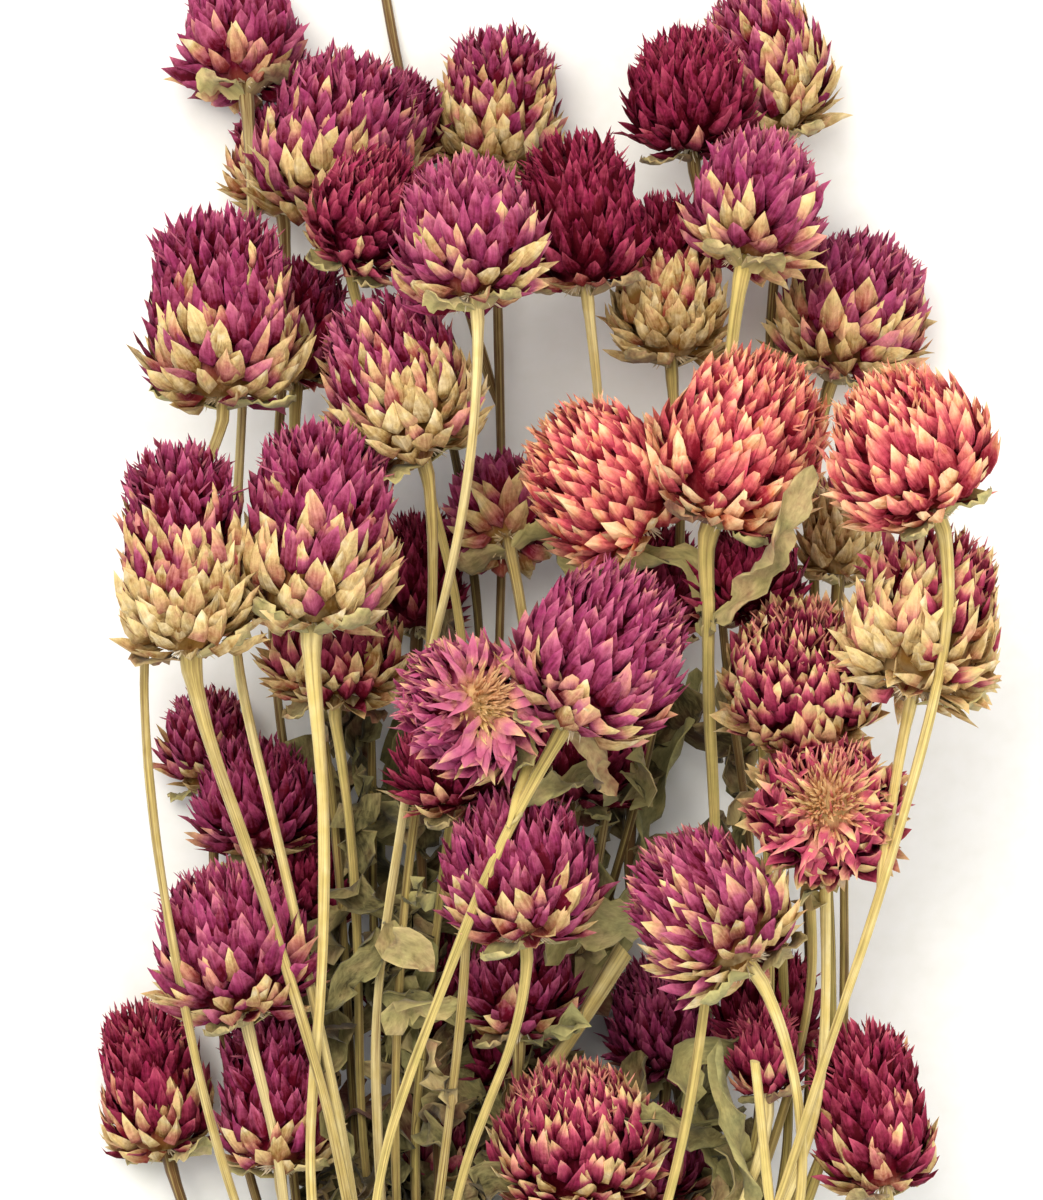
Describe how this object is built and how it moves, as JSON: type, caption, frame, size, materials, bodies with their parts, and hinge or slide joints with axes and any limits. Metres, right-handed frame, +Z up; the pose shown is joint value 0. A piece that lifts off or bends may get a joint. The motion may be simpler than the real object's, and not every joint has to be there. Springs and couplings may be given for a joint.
{
  "type": "bunch of dried globe amaranth",
  "caption": "Loose bunch of dried globe amaranth lying flat: papery purple, crimson and straw flower heads on branching stems, gathered below by a twine tie.",
  "frame": {"origin": "on the table, under the middle of the bunch's bounding box", "axes": "+Y along the stems from the cut ends to the flower heads, +X to the right seen from above, +Z up from the table"},
  "size_m": [0.1416, 0.3598, 0.0818],
  "materials": {
    "bracts_purple": "dry papery bracts, matt with a faint sheen",
    "bracts_crimson": "dry papery bracts, matt with a faint sheen",
    "bracts_salmon": "dry papery bracts, matt with a faint sheen",
    "dried_stem": "dried stalk and leaf, matt, finely grooved",
    "natural_twine": "natural plant-fibre twine, matt"
  },
  "bodies": {
    "root": {"flower_head_01": "bracts_purple", "flower_head_02": "bracts_purple", "flower_head_03": "bracts_purple", "flower_head_04": "bracts_crimson", "flower_head_05": "bracts_purple", "flower_head_06": "bracts_purple", "flower_head_07": "bracts_purple", "flower_head_08": "bracts_crimson", "flower_head_09": "bracts_crimson", "flower_head_10": "bracts_purple", "flower_head_11": "bracts_purple", "flower_head_12": "bracts_crimson", "flower_head_13": "bracts_purple", "flower_head_14": "bracts_purple", "flower_head_15": "bracts_purple", "flower_head_16": "bracts_purple", "flower_head_17": "bracts_purple", "flower_head_18": "bracts_purple", "flower_head_19": "bracts_purple", "flower_head_20": "bracts_salmon", "flower_head_21": "bracts_salmon", "flower_head_22": "bracts_salmon", "flower_head_23": "bracts_purple", "flower_head_24": "bracts_crimson", "flower_head_25": "bracts_crimson", "flower_head_26": "bracts_purple", "flower_head_27": "bracts_crimson", "flower_head_28": "bracts_crimson", "flower_head_29": "bracts_crimson", "flower_head_30": "bracts_purple", "flower_head_31": "bracts_purple", "flower_head_32": "bracts_crimson", "flower_head_33": "bracts_crimson", "flower_head_34": "bracts_purple", "flower_head_35": "bracts_purple", "flower_head_36": "bracts_purple", "flower_head_37": "bracts_purple", "flower_head_38": "bracts_purple", "flower_head_39": "bracts_purple", "flower_head_40": "bracts_crimson", "flower_head_41": "bracts_crimson", "flower_head_42": "bracts_crimson", "flower_head_43": "bracts_crimson", "flower_head_44": "bracts_crimson", "flower_head_45": "bracts_purple", "flower_head_46": "bracts_crimson", "stalk_01": "dried_stem", "stalk_02": "dried_stem", "stalk_03": "dried_stem", "stalk_04": "dried_stem", "stalk_05": "dried_stem", "stalk_06": "dried_stem", "stalk_07": "dried_stem", "stalk_08": "dried_stem", "stalk_09": "dried_stem", "stalk_10": "dried_stem", "stalk_11": "dried_stem", "stalk_12": "dried_stem", "stalk_13": "dried_stem", "twine_tie": "natural_twine"}
  },
  "joints": []
}
